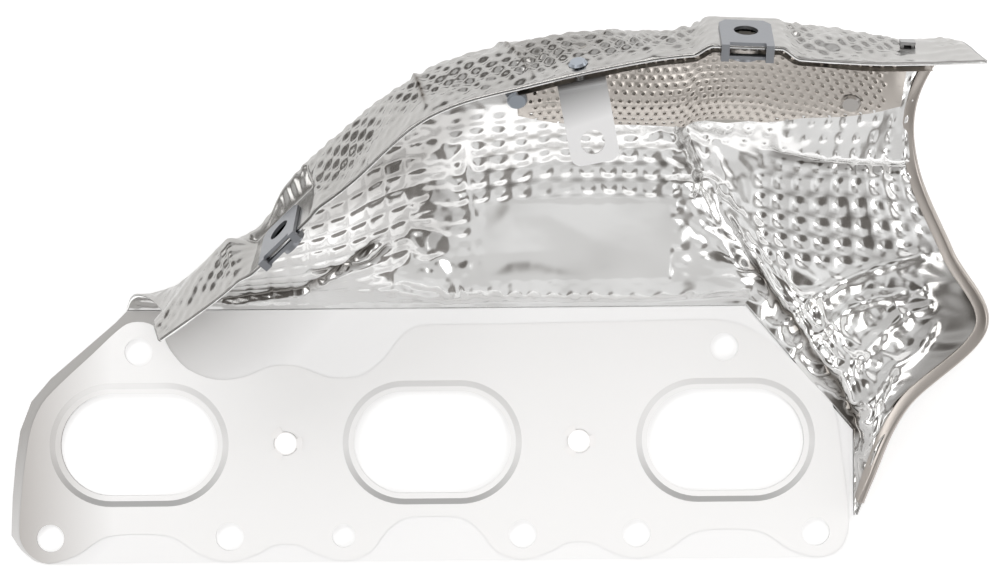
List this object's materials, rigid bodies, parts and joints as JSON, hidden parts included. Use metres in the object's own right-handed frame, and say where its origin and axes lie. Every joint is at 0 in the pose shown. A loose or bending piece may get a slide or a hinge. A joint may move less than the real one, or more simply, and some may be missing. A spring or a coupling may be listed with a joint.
{
  "type": "exhaust manifold gasket with heat shield hood",
  "caption": "Three-port layered steel exhaust manifold gasket carrying an embossed heat shield hood with a perforated liner, clip nuts and a hanging bracket.",
  "frame": {"origin": "on the axis of the middle port, midway between the two locating eyelets, in the plane that the rear beads rest on", "axes": "+X along the port row towards the hood's tail, +Y up towards the hood, +Z out of the manifold side"},
  "size_m": [0.2966, 0.1615, 0.0962],
  "materials": {
    "satin_steel": "satin beaded spring-steel sheet",
    "carrier_steel": "satin cold-rolled plate",
    "eyelet_steel": "satin",
    "embossed_outer": "bright embossed sheet",
    "embossed_inner": "bright embossed foil",
    "mat": "matt mineral fibre",
    "liner_steel": "heat-tinted perforated stainless",
    "edge_steel": "satin stainless strip",
    "zinc_steel": "blue zinc plate",
    "bracket_steel": "satin",
    "rivet_steel": "blue zinc plate",
    "staple_steel": "satin"
  },
  "bodies": {
    "gasket": {"front_bead_layer": "satin_steel", "carrier_layer": "carrier_steel", "rear_bead_layer": "satin_steel", "eyelet_left": "eyelet_steel", "eyelet_right": "eyelet_steel", "shield_outer_sheet": "embossed_outer", "shield_inner_sheet": "embossed_inner", "insulation_mat": "mat", "perforated_liner": "liner_steel", "edge_binding": "edge_steel", "hanging_bracket": "bracket_steel", "bracket_rivet": "rivet_steel", "liner_rivet_left": "rivet_steel", "liner_rivet_right": "rivet_steel", "edge_staple": "staple_steel"},
    "top_nut": {"clip_nut_top": "zinc_steel"},
    "left_nut": {"clip_nut_left": "zinc_steel"}
  },
  "joints": [
    {"name": "top_nut_slide", "type": "slide", "parent": "gasket", "child": "top_nut", "axis": [0.002, -0.4316, 0.9021], "range_m": [0, 0.02]},
    {"name": "left_nut_slide", "type": "slide", "parent": "gasket", "child": "left_nut", "axis": [-0.0451, -0.4661, 0.8836], "range_m": [0, 0.02]}
  ]
}
